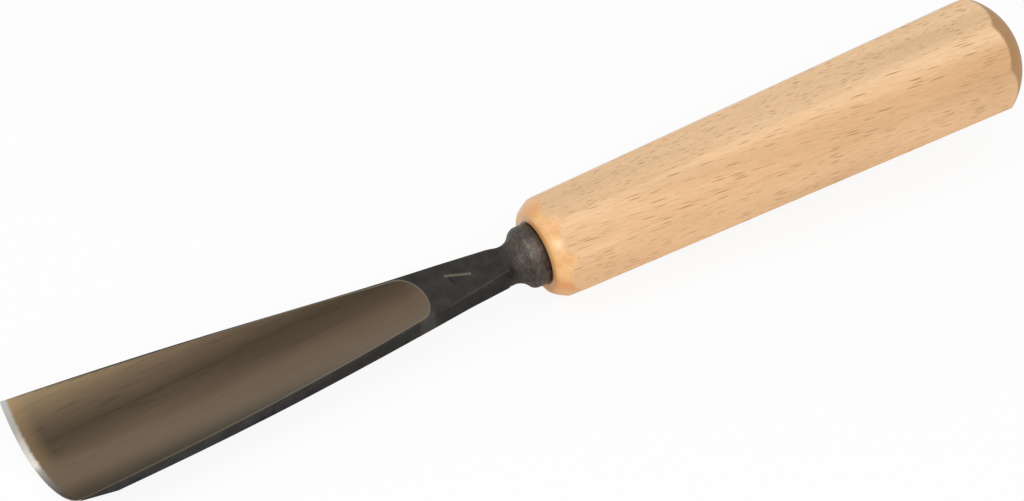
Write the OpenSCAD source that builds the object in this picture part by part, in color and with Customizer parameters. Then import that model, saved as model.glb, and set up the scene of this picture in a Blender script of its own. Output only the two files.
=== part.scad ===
// Carving gouge: a fishtail blade with a shallow sweep, forged in one piece with its shank,
// bolster and tang, driven into an eight-sided beech handle with a hidden ring in its nose.
// It is drawn at the attitude in which it lies on a bench: channel up, blade towards -X,
// resting on the back of the blade at the heel of the bevel and on the nose of the handle.

/* [Part] */
// Which piece to show

/* [Blade] */
// Length from the cutting edge to the back of the bolster
blade_length = 138.1; // [132:0.1:142]
// Half the width across the rims at the cutting edge
edge_half_width = 20.5; // [20:0.1:21]
// Radius of the slight bow of the cutting edge seen from above
edge_bow = 200; // [180:5:400]
// How far off the tool's axis the middle of that bow lies
edge_lean = 8; // [0:0.5:8]
// Half the width where the curved sides turn straight
waist_half_width = 13.55; // [13:0.05:14]
// Distance of that point in front of the bolster's back
waist_station = 70; // [66:0.5:74]
// Inside radius of the channel
channel_radius = 28.5; // [27.5:0.1:30]
// Height of the channel's floor at the edge, from the tool's axis
channel_floor = -1.45; // [-1.7:0.01:-1.3]
// Rise of the channel's floor towards the shank, in degrees
channel_rise = 1.98; // [1.8:0.01:2.1]
// Radius of the run-out at the channel's closed end
runout_radius = 11; // [8:0.5:14]
// Where the run-out starts, in front of the bolster's back
runout_station = 36; // [34:0.5:38]
// Radius of the rounded back of the blade
back_radius = 31.2; // [30:0.1:33]
// Height of the back at the edge, from the tool's axis
back_height = -3.1; // [-3.3:0.01:-2.9]
// Rise of the back towards the shank, in degrees
back_rise = 0.38; // [0.3:0.01:0.5]
// Slope of the outside bevel against the channel, in degrees
bevel_angle = 15.5; // [12:0.5:20]
// Thickness of the edge left by the bevel
edge_thickness = 0.1; // [0.08:0.01:0.2]

/* [Shank and bolster] */
// Half the width of the shank where it leaves the blade
shank_half_width = 6.6; // [6.4:0.05:6.8]
// Where the shank leaves the blade, in front of the bolster's back
shank_root = 22; // [21:0.5:24]
// Half the width of the shank at its neck end
shank_end_half_width = 5.6; // [5.3:0.05:5.8]
// Height of the shank's flat top above the axis
shank_top = 3.15; // [3:0.05:3.4]
// Radius of the scoop that necks the shank in front of the bolster
neck_scoop = 4.6; // [4.2:0.1:5]
// Radius left at the neck
neck_radius = 5.1; // [4.9:0.05:5.3]
// Where the neck is narrowest, in front of the bolster's back
neck_station = 8.4; // [8.2:0.1:8.8]
// Radius of the bolster's rim
bolster_radius = 8.05; // [7.9:0.05:8.5]

/* [Tang] */
// Length of the tang
tang_length = 68; // [60:1:72]
// Width of the square tang at the bolster
tang_width = 7.2; // [6.5:0.1:7.4]
// Width of the square tang at its tip
tang_tip = 3; // [2.6:0.1:3.4]

/* [Handle] */
// Width across the flats at the nose
handle_front_flats = 25.87; // [25.5:0.01:26.5]
// Widening across the flats for each millimetre of length
handle_taper = 0.0327; // [0.03:0.0001:0.036]
// Distance of the butt dome's centre behind the bolster
butt_centre = 119.13; // [115:0.01:125]
// Radius of the butt dome
butt_radius = 18.67; // [18.2:0.01:19.5]
// Distance behind the bolster at which the nose reaches its full radius
nose_centre = 11.85; // [11.5:0.05:12.5]
// Radius of the arc that rounds the nose
nose_round = 19.5; // [18:0.1:20.5]
// Radius that eases the nose's front edge
nose_edge = 1.8; // [1:0.1:3]
// Full radius of the nose
nose_radius = 14.84; // [14.7:0.01:15]

/* [Inner ferrule] */
// Outside radius of the hidden ring
ring_outer = 6.8; // [6.6:0.05:7]
// Inside radius of the hidden ring
ring_inner = 5.6; // [5.4:0.05:5.8]
// Length of the hidden ring
ring_length = 9; // [7:0.5:12]

/* [Hidden] */
$fn = 96;
fine = 1440;

// sides of the blade: a straight taper from the shank, then a large arc out to the corners
side_slope = (waist_half_width - shank_half_width) / (waist_station - shank_root);
side_angle = atan(side_slope);
side_run = blade_length - waist_station;
side_drop = waist_half_width + side_slope * side_run - edge_half_width;
side_radius = side_run * side_run / (2 * side_drop);

// upper edges of the rims: flat over the shank, then two arcs rising to the corners
rise_start = 32.5;
rise_near = 454;
rise_far = 2922;
rise_turn = 1.44;

// shank: the neck end of its straight sides, and the light chamfer along its upper edges
shank_end = 11;
chamfer_start = 34;
chamfer_length = 27;
chamfer_aside = 8.6;
chamfer_taper = 9.6;
chamfer_lean = 40;

// bolster: a rounded rim that runs into the scoop of the neck, and flares out of the flat shank
bolster_front = 12;
rim_round = 2.4;
rim_back = 0.5;
rim_x = neck_station - sqrt(pow(neck_scoop + rim_round, 2)
    - pow(neck_radius + neck_scoop - bolster_radius + rim_round, 2));
flare_y = 4.6;
flare_y_round = 4.2;
flare_y_station = 8.2;
flare_z = 9.5;
under = -2.2;

// bevel: it is ground round a cylinder a little wider than the channel, so that it keeps to
// the edge from corner to corner, and it is turned with the bow of the edge
bevel_share = 0.72;
bevel_ring = channel_radius * (1 + bevel_share * (1 / cos(bevel_angle) - 1)) + edge_thickness;
land = 0.55;
edge_turn = asin(edge_lean / edge_bow);

// half of what the handle widens across the flats before its nose meets them
nose_spread = 0.06;

// nose: where the eased front edge runs into the nose's arc
nose_edge_radius = nose_radius - nose_round
    + sqrt(pow(nose_round - nose_edge, 2) - pow(nose_centre - nose_edge, 2));
nose_edge_x = nose_centre - (nose_centre - nose_edge) * nose_round / (nose_round - nose_edge);

// attitude on the bench: nose down until the bevel's heel and the handle's nose touch, and
// let into the bench by the depth to which use has rubbed those two spots flat; the nose's
// spot is four-sided, and the wood round it is rubbed away at a slope
rubbed = 0.05;
spot_back = 0.3;
spot_side = 1.8;
spot_front_slope = 10;
spot_side_slope = 1.5;
bevel_drop = tan(bevel_angle - channel_rise);
heel_run = (channel_floor - edge_thickness - back_height) / (bevel_drop + tan(back_rise));
heel_x = heel_run - blade_length;
heel_z = back_height + heel_run * tan(back_rise);
flat_x = nose_centre
    - sqrt(pow(nose_round, 2)
        - pow(handle_front_flats / 2 + nose_spread - nose_radius + nose_round, 2));
flat_z = -(handle_front_flats + handle_taper * flat_x) / 2;
nose_down = atan2(heel_z - flat_z, flat_x - heel_x);
rest_height = -(flat_x * sin(nose_down) + flat_z * cos(nose_down)) - rubbed;

// centre of the whole tool along the bench
corner_y = edge_half_width - land;
corner_z = channel_floor + channel_radius - sqrt(pow(channel_radius, 2) - pow(corner_y, 2));
corner_x = edge_bow - sqrt(pow(edge_bow, 2) - pow(corner_y - edge_lean, 2)) - blade_length;
low_x = corner_x * cos(nose_down) - corner_z * sin(nose_down);
high_x = butt_centre * cos(nose_down) + butt_radius;
centre_x = (low_x + high_x) / 2;
spot_x = flat_x * cos(nose_down) - flat_z * sin(nose_down) - centre_x + spot_back;

// ---------------------------------------------------------------- placing

// turns the tool from its own axis to the way it lies on the bench, rubbed flat where it touches
module on_the_bench() {
    difference() {
        translate([-centre_x, 0, rest_height]) rotate([0, -nose_down, 0]) children();
        translate([-160, -30, -10]) cube([320, 60, 10]);
        translate([spot_x, -30, 0]) rotate([0, spot_front_slope, 0])
            translate([-5, 0, -10]) cube([5, 60, 10]);
        for (s = [0, 1]) mirror([0, s, 0])
            translate([spot_x - 5, spot_side, 0]) rotate([spot_side_slope, 0, 0])
                translate([0, 0, -10]) cube([20, 10, 10]);
    }
}

// ---------------------------------------------------------------- blade

// half the outline seen from above, from the shank out to the corner of the edge
module half_plan() {
    intersection() {
        translate([-waist_station, waist_half_width])
            rotate(-side_angle) translate([0, -side_radius]) circle(r = side_radius, $fn = fine * 2);
        translate([-blade_length, 0]) square([side_run, 30]);
    }
    polygon([[-waist_station - 0.01, 0], [-waist_station - 0.01, waist_half_width],
        [-waist_station, waist_half_width], [-shank_root, shank_half_width],
        [-shank_end, shank_end_half_width], [-rim_x, flare_y], [-rim_x, 0]]);
}

// the whole outline, with the bow of the cutting edge
module blade_plan() {
    intersection() {
        union() {
            half_plan();
            mirror([0, 1]) half_plan();
        }
        translate([edge_bow - blade_length, edge_lean]) circle(r = edge_bow, $fn = fine);
    }
}

// side view of the blank below the upper edges of the rims
module blade_side() {
    near_x = -rise_start - rise_near * sin(rise_turn);
    far_centre = [-rise_start + (rise_far - rise_near) * sin(rise_turn),
        shank_top + rise_near + (rise_far - rise_near) * cos(rise_turn)];
    difference() {
        translate([-blade_length, -12]) square([blade_length - rim_x, 24]);
        translate([-rise_start, shank_top]) square([60, 20]);
        intersection() {
            translate([-rise_start, shank_top + rise_near]) circle(r = rise_near, $fn = fine);
            translate([near_x, 0]) square([-rise_start - near_x + 0.01, 20]);
        }
        intersection() {
            translate(far_centre) circle(r = rise_far, $fn = fine * 2);
            translate([-blade_length - 1, 0]) square([near_x + blade_length + 1, 20]);
        }
    }
}

// tool of revolution that sinks the channel, with a rounded end at the shank
module channel_space() {
    run = blade_length - runout_station;
    translate([-blade_length, 0, channel_floor]) rotate([0, -channel_rise, 0])
        translate([0, 0, channel_radius]) rotate([0, 90, 0])
            rotate_extrude($fn = 360) {
                translate([0, -6]) square([channel_radius, run + 6]);
                square([channel_radius - runout_radius, run + runout_radius]);
                translate([channel_radius - runout_radius, run]) circle(r = runout_radius);
            }
}

// the ground bevel: everything outside a cylinder that crosses the channel at the edge
module bevel_waste() {
    lift = bevel_ring / cos(bevel_angle) - channel_radius - edge_thickness;
    translate([-blade_length, 0, channel_floor]) rotate([0, -channel_rise, edge_turn])
        translate([0, 0, channel_radius + lift]) rotate([0, 90 + bevel_angle, 0])
            translate([0, 0, -12]) rotate_extrude($fn = 360)
                translate([bevel_ring, 0]) square([16, 50]);
}

// rounded back of blade and shank
module rounded_back() {
    translate([-blade_length, 0, back_height]) rotate([0, -back_rise, 0])
        translate([0, 0, back_radius]) rotate([0, 90, 0])
            translate([0, 0, -6]) cylinder(r = back_radius, h = blade_length + 12, $fn = 360);
}

// ring that scoops the neck, where the shank is narrowest
module neck_ring() {
    rotate([0, -90, 0]) rotate_extrude()
        translate([neck_radius + neck_scoop, neck_station]) circle(r = neck_scoop);
}

// light forging chamfer along the shank's upper edges, widening towards the neck
module shank_chamfers() {
    for (s = [0, 1]) mirror([0, s, 0])
        translate([-chamfer_start, chamfer_aside, shank_top])
            rotate([0, 0, -chamfer_taper]) rotate([-chamfer_lean, 0, 0])
                translate([0, -4, 0]) cube([chamfer_length, 8, 3]);
}

// bolster: round at the rim, and flaring out of the flat shank above, below and at the sides
module bolster() {
    intersection() {
        rotate([0, -90, 0]) rotate_extrude() {
            square([bolster_radius - rim_back, rim_x]);
            translate([0, rim_back]) square([bolster_radius, rim_x - rim_back]);
            translate([bolster_radius - rim_back, rim_back]) circle(r = rim_back);
            translate([bolster_radius - rim_round, rim_x]) circle(r = rim_round);
            polygon([[0, 0], [bolster_radius - rim_round, rim_x],
                [neck_radius + neck_scoop, neck_station],
                [neck_radius + neck_scoop, bolster_front], [0, bolster_front]]);
        }
        linear_extrude(height = 20, center = true) difference() {
            translate([-bolster_front, -10]) square([bolster_front + 1, 20]);
            for (s = [0, 1]) mirror([0, s]) {
                translate([-flare_y_station, flare_y + flare_y_round]) circle(r = flare_y_round);
                translate([-bolster_front - 1, flare_y])
                    square([bolster_front + 1 - flare_y_station, 10]);
            }
        }
        rotate([90, 0, 0]) linear_extrude(height = 20, center = true) difference() {
            translate([-bolster_front, -10]) square([bolster_front + 1, 20]);
            translate([-bolster_front, shank_top + flare_z]) circle(r = flare_z);
            translate([-bolster_front, under - flare_z]) circle(r = flare_z);
        }
    }
}

// square tang, tapered on all four sides
module tang() {
    a = tang_width / 2;
    b = tang_tip / 2;
    intersection() {
        linear_extrude(height = 20, center = true)
            polygon([[-1, -a], [0, -a], [tang_length, -b], [tang_length, b], [0, a], [-1, a]]);
        rotate([90, 0, 0]) linear_extrude(height = 20, center = true)
            polygon([[-1, -a], [0, -a], [tang_length, -b], [tang_length, b], [0, a], [-1, a]]);
    }
}

module gouge_blade() {
    color([0.24, 0.23, 0.22]) on_the_bench() {
        difference() {
            union() {
                intersection() {
                    linear_extrude(height = 40, center = true) blade_plan();
                    rotate([90, 0, 0]) linear_extrude(height = 60, center = true) blade_side();
                    rounded_back();
                }
                bolster();
            }
            channel_space();
            bevel_waste();
            neck_ring();
            shank_chamfers();
        }
        tang();
    }
}

// ---------------------------------------------------------------- handle

// one pair of opposite flats, spreading towards the butt
module flats(turn) {
    front = handle_front_flats / 2 - handle_taper * 5;
    back = handle_front_flats / 2 + handle_taper * 70;
    rotate([turn, 0, 0]) rotate([90, 0, 0]) linear_extrude(height = 60, center = true)
        polygon([[-10, -front], [140, -back], [140, back], [-10, front]]);
}

module handle_body() {
    intersection() {
        flats(0);
        flats(45);
        flats(90);
        flats(135);
        translate([0, -30, -30]) cube([butt_centre + 30, 60, 60]);
        rotate([0, 90, 0]) rotate_extrude($fn = 180) {
            intersection() {
                translate([nose_radius - nose_round, nose_centre]) circle(r = nose_round, $fn = 360);
                translate([0, nose_edge_x]) square([30, nose_centre - nose_edge_x]);
            }
            square([nose_edge_radius, nose_centre]);
            translate([nose_edge_radius, nose_edge]) circle(r = nose_edge);
            translate([0, nose_centre]) square([nose_radius, 15]);
            translate([0, nose_centre + 15]) square([30, butt_centre - nose_centre - 15]);
            intersection() {
                translate([0, butt_centre]) circle(r = butt_radius);
                translate([0, butt_centre]) square(30);
            }
        }
    }
}

module handle() {
    color([0.86, 0.74, 0.55]) on_the_bench() difference() {
        handle_body();
        tang();
        // pilot hole that the tang was driven into
        rotate([0, 90, 0]) cylinder(d = 4, h = tang_length + 8);
        // groove for the hidden ring
        translate([-1, 0, 0]) rotate([0, 90, 0]) difference() {
            cylinder(r = ring_outer, h = ring_length + 1);
            translate([0, 0, -1]) cylinder(r = ring_inner, h = ring_length + 3);
        }
    }
}

// ---------------------------------------------------------------- hidden ring

module inner_ferrule() {
    color([0.62, 0.63, 0.65]) on_the_bench() rotate([0, 90, 0]) difference() {
        cylinder(r = ring_outer, h = ring_length);
        translate([0, 0, -1]) cylinder(r = ring_inner, h = ring_length + 2);
    }
}

gouge_blade();
handle();
inner_ferrule();
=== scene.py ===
import math

import bpy
from mathutils import Matrix, Vector


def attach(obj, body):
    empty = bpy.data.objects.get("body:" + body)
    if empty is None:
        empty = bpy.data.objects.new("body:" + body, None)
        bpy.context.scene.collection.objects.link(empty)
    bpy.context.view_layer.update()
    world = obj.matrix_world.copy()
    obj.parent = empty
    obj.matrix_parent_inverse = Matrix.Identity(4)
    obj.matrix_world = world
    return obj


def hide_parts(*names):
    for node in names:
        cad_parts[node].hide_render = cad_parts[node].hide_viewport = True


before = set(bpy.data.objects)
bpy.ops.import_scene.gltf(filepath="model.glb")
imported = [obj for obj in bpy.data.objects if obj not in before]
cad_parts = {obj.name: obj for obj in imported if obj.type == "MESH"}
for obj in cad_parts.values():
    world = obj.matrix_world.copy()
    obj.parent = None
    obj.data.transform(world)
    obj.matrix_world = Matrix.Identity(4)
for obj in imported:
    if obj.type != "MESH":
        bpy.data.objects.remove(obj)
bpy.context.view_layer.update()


# ---------------------------------------------------------------- the blade
# Blade, shank, bolster and tang are one forging of carbon steel. The smith leaves the fire
# scale on the outside, grinds the channel bright with a wheel, grinds the outside bevel,
# stamps the sweep's number into the shank and hones the edge on a stone.

mm = 0.001
nose_down = math.radians(4.19665)
bench_place = Vector((0.191425, 0, 12.6473))
blade_length = 138.1
channel_floor = -1.45
channel_radius = 28.5
channel_rise = math.radians(1.98)
channel_run = blade_length - 36
runout_radius = 11.0
chamfer_start = 34.0
chamfer_aside = 8.6
chamfer_taper = math.radians(9.6)
edge_bow = 200.0
edge_lean = 8.0
shank_top = 3.15


def only(piece):
    """leaves this one piece selected and active"""
    bpy.ops.object.select_all(action="DESELECT")
    piece.select_set(True)
    bpy.context.view_layer.objects.active = piece


def lay_on_bench(piece):
    """turns a piece made along the tool's own axis to the way the tool lies, and fixes it"""
    only(piece)
    piece.matrix_world = (Matrix.Translation(bench_place * mm)
                          @ Matrix.Rotation(-nose_down, 4, "Y") @ piece.matrix_world)
    bpy.ops.object.transform_apply(location=True, rotation=True, scale=True)


def along_tool(point):
    """a point of the bench, in millimetres along the tool's own axis"""
    return Matrix.Rotation(nose_down, 3, "Y") @ (point / mm - bench_place)


def tone(red, green, blue):
    """a colour as the eye reads it, turned into the light it gives back"""
    shares = [c / 255 for c in (red, green, blue)]
    return [c / 12.92 if c <= 0.04045 else ((c + 0.055) / 1.055) ** 2.4 for c in shares] + [1.0]


class Finish:
    """a surface finish whose pattern is laid out in millimetres along the tool's own axis"""

    def __init__(self, name, metal, rough):
        self.material = bpy.data.materials.new(name)
        self.material.use_nodes = True
        self.tree = self.material.node_tree
        self.shader = self.tree.nodes["Principled BSDF"]
        self.shader.inputs["Metallic"].default_value = metal
        self.shader.inputs["Roughness"].default_value = rough
        place = self.tree.nodes.new("ShaderNodeTexCoord")
        turn = self.add("ShaderNodeMapping", place.outputs["Object"])
        turn.inputs["Scale"].default_value = (1 / mm, 1 / mm, 1 / mm)
        turn.inputs["Rotation"].default_value = (0, nose_down, 0)
        turn.inputs["Location"].default_value = -(Matrix.Rotation(nose_down, 3, "Y") @ bench_place)
        self.place = turn.outputs[0]
        apart = self.add("ShaderNodeSeparateXYZ", self.place)
        self.along, self.across, self.up = apart.outputs

    def add(self, kind, *values, **settings):
        node = self.tree.nodes.new(kind)
        for name, value in settings.items():
            setattr(node, name, value)
        for socket, value in zip(node.inputs, values):
            self.set(socket, value)
        return node

    def set(self, socket, value):
        if isinstance(value, bpy.types.NodeSocket):
            self.tree.links.new(value, socket)
        elif value is not None:
            socket.default_value = value

    def sum(self, work, first, second=0.0, third=0.0):
        return self.add("ShaderNodeMath", first, second, third, operation=work).outputs[0]

    def stretched(self, stretch):
        return self.add("ShaderNodeVectorMath", self.place, stretch, operation="MULTIPLY").outputs[0]

    def noise(self, scale, stretch=(1, 1, 1), detail=3.0, rough=0.5):
        node = self.add("ShaderNodeTexNoise", self.stretched(stretch))
        node.inputs["Scale"].default_value = scale
        node.inputs["Detail"].default_value = detail
        node.inputs["Roughness"].default_value = rough
        return node.outputs["Fac"]

    def span(self, value, low, high, start=0.0, end=1.0):
        """reads a value between two limits as a smooth share"""
        node = self.add("ShaderNodeMapRange", value, low, high, start, end,
                        interpolation_type="SMOOTHSTEP")
        return node.outputs[0]

    def ramp(self, value, *stops):
        node = self.add("ShaderNodeValToRGB", value)
        band = node.color_ramp
        while len(band.elements) < len(stops):
            band.elements.new(0.5)
        for element, (place, colour) in zip(band.elements, stops):
            element.position = place
            element.color = colour
        return node.outputs[0]

    def blend(self, share, first, second, way="MIX"):
        node = self.add("ShaderNodeMix", data_type="RGBA", blend_type=way)
        self.set(node.inputs[0], share)
        self.set(node.inputs[6], first)
        self.set(node.inputs[7], second)
        return node.outputs[2]

    def wear(self, colour=None, rough=None, height=None, depth=0.05):
        """gives the shader its colour, its roughness and its relief, the relief in millimetres"""
        if colour is not None:
            self.set(self.shader.inputs["Base Color"], colour)
        if rough is not None:
            self.set(self.shader.inputs["Roughness"], rough)
        if height is not None:
            node = self.add("ShaderNodeBump")
            node.inputs["Strength"].default_value = 1.0
            node.inputs["Distance"].default_value = depth * mm
            self.set(node.inputs["Height"], height)
            self.set(self.shader.inputs["Normal"], node.outputs[0])


# fire scale: nearly black, a little mottled, brown-grey on the bolster and the arrises, partly rubbed and
# partly painted highlight; its upright sides are painted darker as shade
scale = Finish("black_fire_scale", 0.6, 0.5)
scale.shader.inputs["Specular IOR Level"].default_value = 0.25
cloud = scale.noise(0.3, detail=4)
speck = scale.noise(3.0, detail=5, rough=0.65)
mottle = scale.sum("MULTIPLY_ADD", speck, 0.4, scale.sum("MULTIPLY", cloud, 0.6))
dark = scale.ramp(mottle, (0.34, tone(38, 37, 36)), (0.5, tone(49, 46, 43)), (0.66, tone(60, 57, 53)))
# painted shade: below the flat top the upright sides of the shank and blade are painted darker, except on
# the bolster
flank_shade = scale.sum("MAXIMUM", scale.span(scale.up, 2.0, 3.0), scale.span(scale.along, -13, -10))
sides = scale.ramp(flank_shade, (0.0, (0.72, 0.72, 0.74, 1)), (1.0, (1, 1, 1, 1)))
shade = scale.blend(1.0, dark, sides, "MULTIPLY")

# the light arris of the shank's chamfer, partly rubbed scale and partly a painted highlight, broken here and
# there, and a nick at its end
aside = scale.sum("ABSOLUTE", scale.across)
chamfer_line = scale.sum("MULTIPLY_ADD", scale.along, -math.tan(chamfer_taper), chamfer_aside
                         - chamfer_start * math.tan(chamfer_taper))
off_line = scale.sum("ABSOLUTE", scale.sum("SUBTRACT", aside, chamfer_line))
arris_wear_and_highlight = scale.sum("MULTIPLY", scale.span(off_line, 0.05, 0.2, 1, 0), scale.span(scale.up, 2.8, 3.0))
arris_wear_and_highlight = scale.sum("MULTIPLY", arris_wear_and_highlight, scale.span(scale.along, -34, -31))
arris_wear_and_highlight = scale.sum("MULTIPLY", arris_wear_and_highlight, scale.span(scale.along, -10.2, -9.7, 1, 0))
arris_wear_and_highlight = scale.sum("MULTIPLY", arris_wear_and_highlight, scale.span(scale.noise(0.5, (0.5, 1, 1)), 0.36, 0.56, 0.1, 0.45))
shade = scale.blend(arris_wear_and_highlight, shade, tone(98, 92, 84))
from_nick = scale.add("ShaderNodeVectorMath", scale.place, (-9.0, -4.6, 2.4), operation="DISTANCE")
shade = scale.blend(scale.span(from_nick.outputs["Value"], 0.3, 0.9, 0.8, 0), shade, tone(26, 25, 24))

# the bolster's scuffed front: towards its rim the scuffs are painted lighter, partly real scuffs and partly
# painted highlight, and a painted highlight spot sits on its upper near side, broken by the same scuffs
scuff = scale.noise(1.3, (1, 1, 0.45), detail=6, rough=0.7)
scuffs_and_sheen = scale.sum("MULTIPLY", scale.span(scale.along, -9.5, -5), scale.span(scuff, 0.4, 0.64, 0.35, 1))
shade = scale.blend(scuffs_and_sheen, shade, tone(92, 83, 75))
from_glint = scale.add("ShaderNodeVectorMath", scale.place, (-2.6, -4.2, 6.8), operation="DISTANCE")
bolster_glint = scale.sum("MULTIPLY", scale.span(from_glint.outputs["Value"], 0.4, 4.2, 1, 0),
                 scale.span(scuff, 0.38, 0.6, 0.35, 1))
shade = scale.blend(bolster_glint, shade, tone(116, 109, 100))

# a lighter patch on the near shoulder
patch = scale.sum("MULTIPLY", scale.span(scale.along, -38, -36.5), scale.span(scale.along, -33.5, -32, 1, 0))
patch = scale.sum("MULTIPLY", patch, scale.span(scale.across, -7, -6, 0.42, 0))
shade = scale.blend(patch, shade, tone(86, 83, 77))

# the thin light line round the channel, where the wheel has broken the scale, is a painted highlight along
# the rim's arris
run = scale.sum("ADD", scale.along, blade_length)
rise = scale.sum("SUBTRACT", scale.up, channel_floor)
forth = scale.sum("MULTIPLY_ADD", run, math.cos(channel_rise),
                  scale.sum("MULTIPLY", rise, math.sin(channel_rise)))
lift = scale.sum("MULTIPLY_ADD", rise, math.cos(channel_rise),
                 scale.sum("MULTIPLY", run, -math.sin(channel_rise)))
spoke = scale.add("ShaderNodeCombineXYZ", 0.0, scale.across, scale.sum("SUBTRACT", channel_radius, lift))
reach = scale.add("ShaderNodeVectorMath", spoke.outputs[0], operation="LENGTH").outputs["Value"]
past = scale.sum("MAXIMUM", scale.sum("SUBTRACT", forth, channel_run), 0.0)
wide = scale.sum("SUBTRACT", reach, channel_radius - runout_radius)
round_end = scale.add("ShaderNodeCombineXYZ", past, wide, 0.0)
gap = scale.add("ShaderNodeVectorMath", round_end.outputs[0], operation="LENGTH").outputs["Value"]
rim_highlight = scale.span(scale.sum("SUBTRACT", gap, runout_radius), 0.06, 0.2, 0.85, 0)
shade = scale.blend(rim_highlight, shade, tone(124, 113, 97))
scale.wear(shade, scale.span(speck, 0.3, 0.7, 0.4, 0.56), mottle, 0.08)

# ground channel: bronze-grey, straw and tan from the heat of the wheel, drawn with fine lines
ground = Finish("ground_channel", 1.0, 0.34)
# across the channel the bands of tone are partly the steel's tint and partly painted shade and reflection,
# with a dark painted reflection band along the far wall
side = ground.sum("MULTIPLY_ADD", ground.across, 1 / 42, 0.5)
wander = ground.noise(0.16, (0.16, 1, 1), detail=4)
side = ground.sum("ADD", side, ground.sum("MULTIPLY_ADD", wander, 0.12, -0.06))
tint_and_reflection_bands = ground.ramp(side, (0.05, tone(94, 87, 77)), (0.2, tone(112, 98, 81)),
                    (0.36, tone(115, 100, 83)), (0.5, tone(108, 94, 78)), (0.6, tone(90, 77, 63)),
                    (0.71, tone(75, 65, 53)), (0.8, tone(98, 84, 68)), (0.92, tone(120, 103, 80)))
hair = ground.noise(2.2, (0.05, 1, 1), detail=5, rough=0.6)
streak = ground.ramp(hair, (0.3, (0.93, 0.93, 0.93, 1)), (0.5, (1, 1, 1, 1)), (0.72, (1.04, 1.04, 1.04, 1)))
bronze = ground.blend(1.0, tint_and_reflection_bands, streak, "MULTIPLY")
fade = ground.ramp(ground.span(ground.along, -125, -42),
                   (0.0, (1.08, 1.08, 1.07, 1)), (1.0, (0.91, 0.89, 0.87, 1)))
bronze = ground.blend(ground.span(side, 0.6, 0.85, 1, 0), bronze,
                      ground.blend(1.0, bronze, fade, "MULTIPLY"))
# painted reflection: dark streaks painted lengthwise down the middle and far side of the channel
draw = ground.noise(0.9, (0.09, 1, 1), detail=3)
reflection_streaks = ground.sum("MULTIPLY", ground.span(draw, 0.56, 0.68), ground.span(side, 0.5, 0.7))
bronze = ground.blend(ground.sum("MULTIPLY", reflection_streaks, 0.28), bronze, tone(58, 50, 42))
flat_place = ground.stretched((1, 1, 0))
from_bow = ground.add("ShaderNodeVectorMath", flat_place,
                      (edge_bow - blade_length, edge_lean, 0), operation="DISTANCE").outputs["Value"]
from_edge = ground.sum("SUBTRACT", edge_bow, from_bow)
ragged = ground.sum("MULTIPLY_ADD", ground.noise(1.3, (0.5, 1, 1), detail=4), 0.9, -0.45)
from_stone = ground.sum("ADD", from_edge, ragged)
straw = ground.sum("MULTIPLY", ground.span(from_stone, 1.4, 7, 1, 0),
                   ground.span(side, 0.38, 0.64, 0.04, 0.72))
tinted = ground.blend(straw, bronze, tone(134, 112, 84))
# the honed band is lighter steel, painted brightest across its middle as a highlight
honed_steel_and_highlight = ground.ramp(side, (0.08, tone(98, 92, 86)), (0.25, tone(98, 94, 90)),
                     (0.42, tone(128, 124, 118)), (0.52, tone(160, 154, 146)), (0.6, tone(232, 227, 218)),
                     (0.68, tone(214, 208, 198)), (0.82, tone(170, 166, 158)), (0.96, tone(150, 150, 150)))
narrow = ground.span(side, 0.15, 0.48, 0.8, 0)
honed = ground.span(ground.sum("ADD", from_stone, narrow), 1.0, 2.1, 1, 0)
behind = ground.span(from_edge, 3, 6)
ground.wear(ground.blend(honed, tinted, honed_steel_and_highlight),
            ground.sum("MULTIPLY_ADD", honed, 0.02, 0.4), ground.sum("MULTIPLY", hair, behind), 0.002)

# near the edge the channel is honed truly round, so it faces straight to the wheel's axis
relief = ground.shader.inputs["Normal"].links[0].from_socket
drop = ground.sum("SQRT", ground.sum("SUBTRACT", channel_radius ** 2,
                                     ground.sum("MULTIPLY", ground.across, ground.across)))
wheel_lean = nose_down + channel_rise
inwards = ground.add("ShaderNodeCombineXYZ",
                     ground.sum("MULTIPLY", drop, -math.sin(wheel_lean) / channel_radius),
                     ground.sum("MULTIPLY", ground.across, -1 / channel_radius),
                     ground.sum("MULTIPLY", drop, math.cos(wheel_lean) / channel_radius))
even = ground.add("ShaderNodeMix", data_type="VECTOR")
ground.set(even.inputs[0], behind)
ground.set(even.inputs[4], inwards.outputs[0])
ground.set(even.inputs[5], relief)
ground.set(ground.shader.inputs["Normal"], even.outputs[1])

# ground bevel: bright steel with the wheel's scratches across it
bright = Finish("ground_bevel", 1.0, 0.28)
scratch = bright.noise(2.4, (1, 0.05, 0.3), detail=6, rough=0.7)
bright.wear(bright.ramp(scratch, (0.3, tone(132, 130, 126)), (0.6, tone(178, 176, 171))),
            bright.span(scratch, 0.3, 0.7, 0.22, 0.36), scratch, 0.012)

# the bottom of the stamped number, where the scale has cracked off
stamped = Finish("stamped_number", 0.8, 0.45)
stamped.wear(stamped.ramp(stamped.noise(3.0, detail=3),
                          (0.35, tone(98, 90, 80)), (0.65, tone(132, 122, 110))))


def turn_up(name, stations, sides):
    """turns a round piece about the tool's axis, from a disc drawn out station by station"""
    start, radius = stations[0]
    bpy.ops.object.select_all(action="DESELECT")
    bpy.ops.mesh.primitive_circle_add(vertices=sides, radius=radius * mm, fill_type="NGON",
                                      location=(start * mm, 0, 0), rotation=(0, math.pi / 2, 0))
    piece = bpy.context.active_object
    piece.name = name
    bpy.ops.object.transform_apply(location=True, rotation=True, scale=True)
    bpy.ops.object.mode_set(mode="EDIT")
    bpy.ops.mesh.select_all(action="SELECT")
    for place, size in stations[1:]:
        bpy.ops.mesh.extrude_region_move(
            TRANSFORM_OT_translate={"value": ((place - start) * mm, 0, 0)})
        share = size / radius
        bpy.ops.transform.resize(value=(1, share, share), center_override=(place * mm, 0, 0))
        start, radius = place, size
    bpy.ops.mesh.select_all(action="SELECT")
    bpy.ops.mesh.normals_make_consistent(inside=False)
    bpy.ops.object.mode_set(mode="OBJECT")
    return piece


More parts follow.
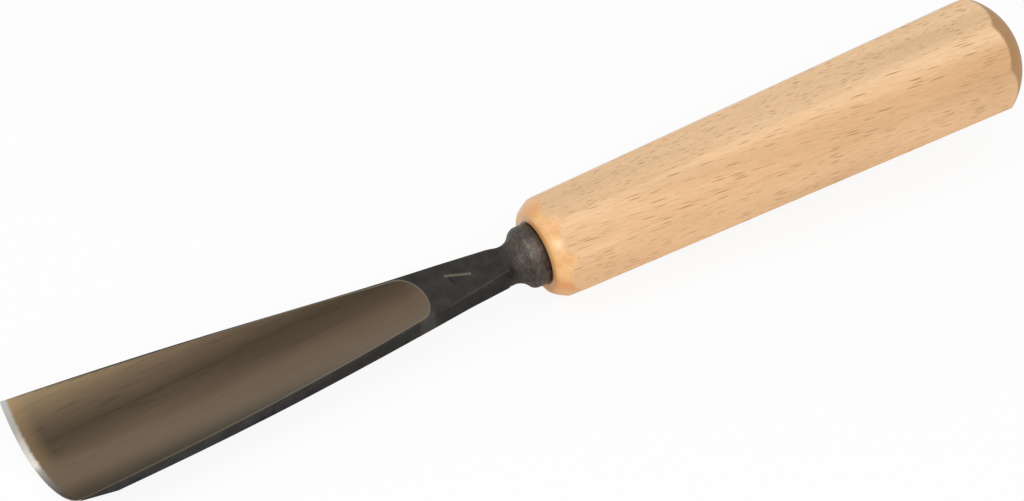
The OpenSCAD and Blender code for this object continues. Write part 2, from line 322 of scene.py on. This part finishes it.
def cut_with(piece, cutter):
    """takes the cutter's shape out of a piece, whose cut faces get the cutter's material"""
    cut = piece.modifiers.new("cut", "BOOLEAN")
    cut.operation = "DIFFERENCE"
    cut.solver = "EXACT"
    cut.material_mode = "TRANSFER"
    cut.object = cutter
    only(piece)
    bpy.ops.object.modifier_apply(modifier="cut")
    bpy.data.objects.remove(cutter, do_unlink=True)


def punch(name, start, end, width, finish):
    """one stroke of the number punch, standing in the shank's flat top"""
    start, end = Vector(start), Vector(end)
    run = end - start
    bpy.ops.object.select_all(action="DESELECT")
    bpy.ops.mesh.primitive_cube_add(size=1)
    stroke = bpy.context.active_object
    stroke.name = name
    middle = ((start + end) / 2).to_3d() + Vector((0, 0, shank_top))
    stroke.matrix_world = (Matrix.Translation(middle * mm)
                           @ Matrix.Rotation(math.atan2(run.y, run.x), 4, "Z")
                           @ Matrix.Diagonal(((run.length + width) * mm, width * mm, 0.36 * mm, 1)))
    lay_on_bench(stroke)
    bpy.ops.object.mode_set(mode="EDIT")
    bpy.ops.mesh.select_all(action="SELECT")
    bpy.ops.mesh.bevel(offset=0.1 * mm, segments=2, affect="EDGES")
    bpy.ops.object.mode_set(mode="OBJECT")
    stroke.data.materials.append(finish.material)
    return stroke


bpy.ops.object.select_all(action="DESELECT")
forging = bpy.data.objects["gouge_blade"].copy()
forging.data = forging.data.copy()
forging.name = "blade_forging"
bpy.context.scene.collection.objects.link(forging)
only(forging)
bpy.ops.object.mode_set(mode="EDIT")
bpy.ops.mesh.select_all(action="SELECT")
bpy.ops.mesh.remove_doubles(threshold=0.001 * mm)
bpy.ops.object.mode_set(mode="OBJECT")

forging.data.materials.clear()
for finish in (scale, ground, bright, stamped):
    forging.data.materials.append(finish.material)
for face in forging.data.polygons:
    lean = Matrix.Rotation(nose_down, 3, "Y") @ face.normal
    if lean.x < -0.08 and along_tool(face.center).x < -125:
        face.material_index = 2

# the wheel that grinds the channel, a hair over size, so that it leaves a fresh smooth surface
over = 0.004
middle = channel_radius - runout_radius
turn = [math.radians(1.5 * k) for k in range(41)]
stations = [(-6 + 3 * k, channel_radius + over) for k in range(36)]
stations += [(channel_run + (runout_radius + over) * math.sin(t),
              middle + (runout_radius + over) * math.cos(t)) for t in turn]
wheel = turn_up("grinding_wheel", stations, 720)
wheel.data.materials.append(ground.material)
wheel.matrix_world = (Matrix.Translation((-blade_length * mm, 0, channel_floor * mm))
                      @ Matrix.Rotation(-channel_rise, 4, "Y")
                      @ Matrix.Translation((0, 0, channel_radius * mm)))
lay_on_bench(wheel)
cut_with(forging, wheel)
cut_with(forging, punch("stem", (-24.1, 2.4), (-18.8, -0.2), 0.9, stamped))
cut_with(forging, punch("bar", (-24.1, 2.4), (-23.4, -1.4), 0.55, scale))
only(forging)
bpy.ops.object.mode_set(mode="EDIT")
bpy.ops.mesh.select_all(action="SELECT")
bpy.ops.mesh.remove_doubles(threshold=0.01 * mm)
bpy.ops.mesh.dissolve_degenerate(threshold=0.005 * mm)
bpy.ops.object.mode_set(mode="OBJECT")
bpy.ops.object.shade_smooth_by_angle(angle=math.radians(24))
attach(forging, "root")
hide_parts("gouge_blade")


# ---------------------------------------------------------------- the handle
# The handle is one piece of beech, planed to eight tapering flats and turned round at the
# nose and the butt. It is sanded, oiled and lacquered, and driven onto the square tang.

handle_front = 25.87
handle_taper = 0.0327
butt_centre = 119.13
butt_radius = 18.67
nose_centre = 11.85
nose_round = 19.5
nose_radius = 14.84
nose_edge = 1.8

beech = Finish("lacquered_beech", 0.0, 0.42)
lean = beech.add("ShaderNodeCombineXYZ", 0.0, beech.sum("MULTIPLY", beech.along, 0.07),
                 beech.sum("MULTIPLY", beech.along, 0.07)).outputs[0]
beech.place = beech.add("ShaderNodeVectorMath", beech.place, lean, operation="ADD").outputs[0]
rings = beech.noise(0.2, (0.05, 1, 0.6), detail=4)
pores = beech.noise(2.6, (0.1, 1, 1), detail=5, rough=0.6)
wood = beech.ramp(rings, (0.32, tone(212, 168, 120)), (0.5, tone(223, 177, 126)),
                  (0.68, tone(229, 185, 136)))

# the flats are painted in different tones for the light that falls on them: the top one paler and cooler,
# the near one beside it darker and warmer, as painted light and shade; all but the top one are also darker
# towards the butt
on_top = beech.span(beech.up, 10, 13.2)
beside = beech.sum("MULTIPLY", beech.span(beech.up, 4.5, 6.5), beech.span(beech.across, -6, -3, 1, 0))
beside = beech.sum("MULTIPLY", beside, beech.sum("SUBTRACT", 1.0, on_top))
far_end = beech.sum("MULTIPLY", beech.span(beech.along, 100, 125), beech.sum("SUBTRACT", 1.0, on_top))
for place, change in ((on_top, (1.03, 1.09, 1.17, 1)), (beside, (0.94, 0.92, 0.88, 1)),
                      (far_end, (0.93, 0.91, 0.88, 1))):
    wood = beech.blend(place, wood, beech.blend(1.0, wood, change, "MULTIPLY"))

# fine dark pores along the grain
grain = beech.ramp(pores, (0.32, (0.9, 0.88, 0.85, 1)), (0.5, (0.99, 0.99, 0.99, 1)),
                   (0.68, (1.05, 1.05, 1.06, 1)))
wood = beech.blend(1.0, wood, grain, "MULTIPLY")

# the short dark rays of beech: thin spindles that lie nearly along the grain
grid = beech.stretched((0.19, 2.3, 2.3))
rays = beech.add("ShaderNodeTexVoronoi", grid)
rays.inputs["Scale"].default_value = 1.0
chance = beech.add("ShaderNodeSeparateXYZ", rays.outputs["Color"])
size = beech.span(chance.outputs[1], 0, 1, 0.3, 0.64)
apart = beech.add("ShaderNodeVectorMath", grid, rays.outputs["Position"], operation="SUBTRACT").outputs[0]
apart = beech.add("ShaderNodeVectorMath", apart, (1, 2.0, 2.0), operation="MULTIPLY").outputs[0]
apart = beech.add("ShaderNodeVectorMath", apart, operation="LENGTH").outputs["Value"]
ray = beech.span(apart, beech.sum("MULTIPLY", size, 0.5), size, 1, 0)
ray = beech.sum("MULTIPLY", ray, beech.span(chance.outputs[0], 0.1, 0.9, 0.15, 1))

# how far the turned nose and butt stand back from the flats, where the wood drinks more oil
aside = beech.sum("ABSOLUTE", beech.across)
reach = beech.sum("MAXIMUM", aside, beech.sum("ABSOLUTE", beech.up))
diagonal = beech.sum("ADD", aside, beech.sum("ABSOLUTE", beech.up))
reach = beech.sum("MAXIMUM", reach, beech.sum("MULTIPLY", diagonal, math.sqrt(0.5)))
flat_height = beech.sum("MULTIPLY_ADD", beech.along, handle_taper / 2, handle_front / 2)
turned_off = beech.span(beech.sum("SUBTRACT", flat_height, reach), 0.0, 0.8)
nose_end = beech.sum("MULTIPLY", turned_off, beech.span(beech.along, 20, 22, 1, 0))
butt_end = beech.sum("MULTIPLY", turned_off, beech.span(beech.along, 90, 92))
oiled = beech.ramp(beech.noise(0.16, (0.6, 1, 1), detail=2), (0.38, tone(224, 154, 86)),
                   (0.5, tone(231, 171, 107)), (0.62, tone(238, 182, 120)))
# the turned nose is darker and warmer towards the bottom and paler and cooler towards the top
deeper = beech.ramp(beech.span(beech.up, -7, 8),
                    (0.0, (0.97, 0.87, 0.66, 1)), (0.35, (0.97, 0.9, 0.77, 1)),
                    (0.65, (1, 0.99, 0.96, 1)), (1.0, (0.99, 1.07, 1.12, 1)))
oiled = beech.blend(1.0, beech.blend(1.0, oiled, grain, "MULTIPLY"), deeper, "MULTIPLY")
wood = beech.blend(beech.sum("MULTIPLY", nose_end, 0.88), wood, oiled)
wood = beech.blend(beech.sum("MULTIPLY", butt_end, 0.85), wood, tone(172, 128, 78))
wood = beech.blend(beech.sum("MULTIPLY", ray, beech.sum("MULTIPLY_ADD", nose_end, -0.4, 0.85)),
                   wood, tone(132, 82, 18))

# the dark line where the bolster meets the wood: partly the scorch that the hot bolster and old polish
# leave, partly painted shade in the joint
axis_way = beech.add("ShaderNodeCombineXYZ", 0.0, beech.across, beech.up).outputs[0]
from_axis = beech.add("ShaderNodeVectorMath", axis_way, operation="LENGTH").outputs["Value"]
scorch_and_joint_shade = beech.sum("MULTIPLY", beech.span(from_axis, 8.25, 8.7, 0.95, 0),
                   beech.span(beech.along, 0.3, 0.6, 1, 0))
wood = beech.blend(scorch_and_joint_shade, wood, tone(64, 32, 22))
beech.wear(wood, beech.span(pores, 0.3, 0.7, 0.48, 0.38), pores, 0.02)
glossy = beech.sum("SUBTRACT", 1.0, butt_end)
beech.set(beech.shader.inputs["Coat Weight"], beech.sum("MULTIPLY", glossy, 0.6))
beech.set(beech.shader.inputs["Specular IOR Level"], beech.sum("MULTIPLY_ADD", glossy, 0.35, 0.15))
beech.shader.inputs["Coat Roughness"].default_value = 0.24

middle = nose_radius - nose_round
edge_way = nose_centre - nose_edge
edge_middle = middle + math.sqrt((nose_round - nose_edge) ** 2 - edge_way ** 2)
edge_turn = math.asin(edge_way / (nose_round - nose_edge))
nose = [(nose_edge * (1 - math.cos(math.pi / 2 * k / 8)),
         edge_middle + nose_edge * math.sin(math.pi / 2 * k / 8))
        for k in range(9) if math.pi / 2 * (1 - k / 8) > edge_turn]
nose += [(nose_centre - nose_round * math.sin(edge_turn * (1 - k / 16)),
          middle + nose_round * math.cos(edge_turn * (1 - k / 16))) for k in range(17)]
butt = [(butt_centre + butt_radius * math.sin(math.pi / 2 * k / 24),
         butt_radius * math.cos(math.pi / 2 * k / 24)) for k in range(24)]
turned = turn_up("turned_blank", nose + butt + [(butt_centre + butt_radius, 0.02)], 192)

before, beyond = -5.0, 145.0
bpy.ops.object.select_all(action="DESELECT")
bpy.ops.mesh.primitive_cone_add(
    vertices=8, radius1=(handle_front + handle_taper * before) / 2 / math.cos(math.pi / 8) * mm,
    radius2=(handle_front + handle_taper * beyond) / 2 / math.cos(math.pi / 8) * mm,
    depth=(beyond - before) * mm, end_fill_type="NGON")
wooden = bpy.context.active_object
wooden.name = "beech_handle"
wooden.matrix_world = (Matrix.Translation(((before + beyond) / 2 * mm, 0, 0))
                       @ Matrix.Rotation(math.pi / 2, 4, "Y") @ Matrix.Rotation(math.pi / 8, 4, "Z"))
bpy.ops.object.transform_apply(location=True, rotation=True, scale=True)
shave = wooden.modifiers.new("shave", "BOOLEAN")
shave.operation = "INTERSECT"
shave.solver = "EXACT"
shave.object = turned
bpy.ops.object.modifier_apply(modifier="shave")
bpy.data.objects.remove(turned, do_unlink=True)
only(wooden)
ease = wooden.modifiers.new("ease", "BEVEL")
ease.width = 0.8 * mm
ease.segments = 4
ease.limit_method = "ANGLE"
ease.angle_limit = math.radians(12)
bpy.ops.object.modifier_apply(modifier="ease")
bpy.ops.object.shade_smooth_by_angle(angle=math.radians(30))
wooden.data.materials.clear()
wooden.data.materials.append(beech.material)
lay_on_bench(wooden)
bpy.ops.object.mode_set(mode="EDIT")
bpy.ops.mesh.select_all(action="SELECT")
bpy.ops.mesh.bisect(plane_co=(0, 0, 0), plane_no=(0, 0, 1), use_fill=True,
                    clear_inner=True, threshold=0.0001 * mm)
bpy.ops.object.mode_set(mode="OBJECT")
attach(wooden, "root")
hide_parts("handle")


# ---------------------------------------------------------------- the hidden ring
# A short ring of bright drawn steel is pressed into the nose, round the tang, so that the
# wood doesn't split when the handle is struck. It is quite hidden in the finished tool.

ring = Finish("drawn_ring_steel", 1.0, 0.3)
draw = ring.noise(3.0, (0.05, 1, 1), detail=4)
ring.wear(ring.ramp(draw, (0.3, tone(150, 151, 154)), (0.7, tone(186, 187, 190))),
          ring.span(draw, 0.3, 0.7, 0.26, 0.38), draw, 0.01)
collar = bpy.data.objects["inner_ferrule"]
collar.data.materials.clear()
collar.data.materials.append(ring.material)


# ---------------------------------------------------------------- floor, light and camera
# The tool lies on a plain white sheet of card under broad soft lights, and it is seen from
# the tip's side and from well above.

card = bpy.data.materials.new("white_card")
card.use_nodes = True
tree = card.node_tree
sheet = tree.nodes["Principled BSDF"]
sheet.inputs["Base Color"].default_value = (0.9, 0.9, 0.9, 1)
sheet.inputs["Roughness"].default_value = 0.9
sheet.inputs["Specular IOR Level"].default_value = 0.0
glow = tree.nodes.new("ShaderNodeEmission")
both = tree.nodes.new("ShaderNodeMixShader")
rays = tree.nodes.new("ShaderNodeLightPath")
share = tree.nodes.new("ShaderNodeMath")
share.operation = "MULTIPLY"
share.inputs[1].default_value = 0.9
tree.links.new(rays.outputs["Is Camera Ray"], share.inputs[0])
tree.links.new(share.outputs[0], both.inputs[0])
tree.links.new(sheet.outputs[0], both.inputs[1])
tree.links.new(glow.outputs[0], both.inputs[2])
tree.links.new(both.outputs[0], tree.nodes["Material Output"].inputs["Surface"])
bpy.ops.object.select_all(action="DESELECT")
bpy.ops.mesh.primitive_plane_add(size=8, location=(0, 0, 0))
floor = bpy.context.active_object
floor.name = "card_floor"
floor.data.materials.append(card)

world = bpy.data.worlds.new("soft_room")
bpy.context.scene.world = world
world.use_nodes = True
tree = world.node_tree
air = tree.nodes["Background"]
air.inputs["Color"].default_value = (1, 1, 1, 1)
rays = tree.nodes.new("ShaderNodeLightPath")
seen = tree.nodes.new("ShaderNodeMath")
seen.operation = "MAXIMUM"
tree.links.new(rays.outputs["Is Camera Ray"], seen.inputs[0])
tree.links.new(rays.outputs["Is Glossy Ray"], seen.inputs[1])
through = tree.nodes.new("ShaderNodeMath")
through.operation = "MAXIMUM"
tree.links.new(seen.outputs[0], through.inputs[0])
tree.links.new(rays.outputs["Is Transmission Ray"], through.inputs[1])
level = tree.nodes.new("ShaderNodeMapRange")
level.inputs["To Min"].default_value = 0.72
level.inputs["To Max"].default_value = 1.0
tree.links.new(through.outputs[0], level.inputs["Value"])
tree.links.new(level.outputs[0], air.inputs["Strength"])


def soft_light(name, place, size, power):
    """a square soft box that looks at the middle of the tool"""
    lamp = bpy.data.lights.new(name, "AREA")
    lamp.size = size
    lamp.energy = power
    box = bpy.data.objects.new(name, lamp)
    box.location = place
    box.rotation_euler = (Vector((0, 0, 0.02)) - Vector(place)).to_track_quat("-Z", "Y").to_euler()
    bpy.context.scene.collection.objects.link(box)


soft_light("window_light", (-1.15, 0.05, 1.45), 0.55, 4)
soft_light("front_light", (-0.2, -1.5, 1.15), 1.2, 8)
soft_light("side_light", (-1.08, -0.88, 0.78), 0.26, 3.6)

view = bpy.data.cameras.new("view")
view.lens = 279.5267
view.sensor_width = 36
view.clip_start = 0.1
view.clip_end = 20
stand = bpy.data.objects.new("view", view)
stand.location = (-0.7010348, -1.2876904, 1.3200003)
stand.rotation_euler = [math.radians(turn) for turn in (48.29361, 0.78520, -29.03657)]
bpy.context.scene.collection.objects.link(stand)
bpy.context.scene.camera = stand
bpy.context.scene.view_settings.view_transform = "Standard"
